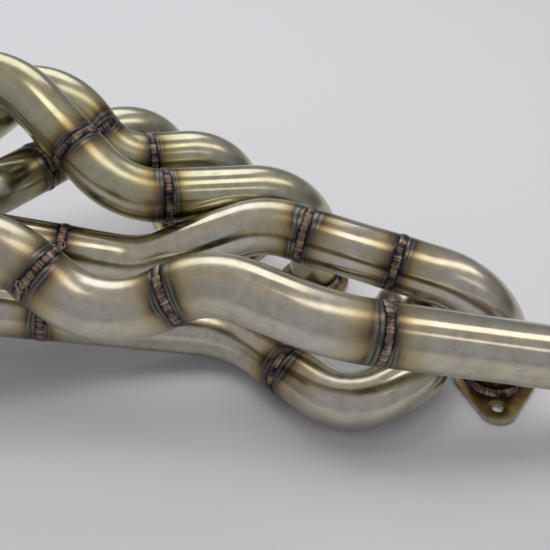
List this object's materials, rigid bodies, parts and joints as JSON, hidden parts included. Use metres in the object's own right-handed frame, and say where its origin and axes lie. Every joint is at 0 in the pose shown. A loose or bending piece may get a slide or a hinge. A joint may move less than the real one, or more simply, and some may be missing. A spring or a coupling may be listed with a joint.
{
  "type": "racing exhaust header",
  "caption": "Welded stainless exhaust header: separate port flanges and primaries, gathered in two groups into slip-on collectors held by springs.",
  "frame": {"origin": "centre of the footprint, on the bench that the port flanges lie on", "axes": "+X along the row of ports from cylinder 1 to cylinder 6, +Z away from the port faces, -Y the side the primaries sweep to"},
  "size_m": [0.8762, 0.6666, 0.2131],
  "materials": {
    "tube": "satin thin-wall stainless tube, heat-tinted at the welds",
    "flange": "laser-cut stainless plate, straw and brown heat tint",
    "sheet": "formed stainless sheet, satin",
    "spring": "bright drawn spring wire"
  },
  "bodies": {
    "header": {"port_flange_1": "flange", "primary_1_port_bend": "tube", "primary_1_tail": "tube", "primary_1_tab": "sheet", "spring_1": "spring", "port_flange_2": "flange", "primary_2_port_bend": "tube", "primary_2_offset_bend": "tube", "primary_2_tail": "tube", "primary_2_tab": "sheet", "spring_2": "spring", "port_flange_3": "flange", "primary_3_port_bend": "tube", "primary_3_offset_bend": "tube", "primary_3_tail": "tube", "primary_3_tab": "sheet", "spring_3": "spring", "port_flange_4": "flange", "primary_4_port_loop": "tube", "primary_4_low_run": "tube", "primary_4_tail": "tube", "primary_4_tab": "sheet", "spring_4": "spring", "port_flange_5": "flange", "primary_5_port_bend": "tube", "primary_5_straight": "tube", "primary_5_s_bend": "tube", "primary_5_tail": "tube", "primary_5_tab": "sheet", "spring_5": "spring", "port_flange_6": "flange", "primary_6_port_bend": "tube", "primary_6_hump": "tube", "primary_6_dip": "tube", "primary_6_tail": "tube", "primary_6_tab": "sheet", "spring_6": "spring"},
    "collector_1": {"collector_1_body": "sheet", "collector_1_outlet_tube": "tube", "collector_1_outlet_flange": "flange", "collector_1_tab_1": "sheet", "collector_1_tab_2": "sheet", "collector_1_tab_3": "sheet"},
    "collector_2": {"collector_2_body": "sheet", "collector_2_outlet_tube": "tube", "collector_2_outlet_flange": "flange", "collector_2_tab_4": "sheet", "collector_2_tab_5": "sheet", "collector_2_tab_6": "sheet"}
  },
  "joints": [
    {"name": "collector_1_slide", "type": "slide", "parent": "header", "child": "collector_1", "axis": [-0.6917, -0.6917, -0.2079], "range_m": [0, 0.012], "stiffness_N_per_m": 9000, "springref_m": -0.004, "deforming": ["spring_1", "spring_2", "spring_3"]},
    {"name": "collector_2_slide", "type": "slide", "parent": "header", "child": "collector_2", "axis": [-0.6917, -0.6917, -0.2079], "range_m": [0, 0.012], "stiffness_N_per_m": 9000, "springref_m": -0.004, "deforming": ["spring_4", "spring_5", "spring_6"]}
  ]
}
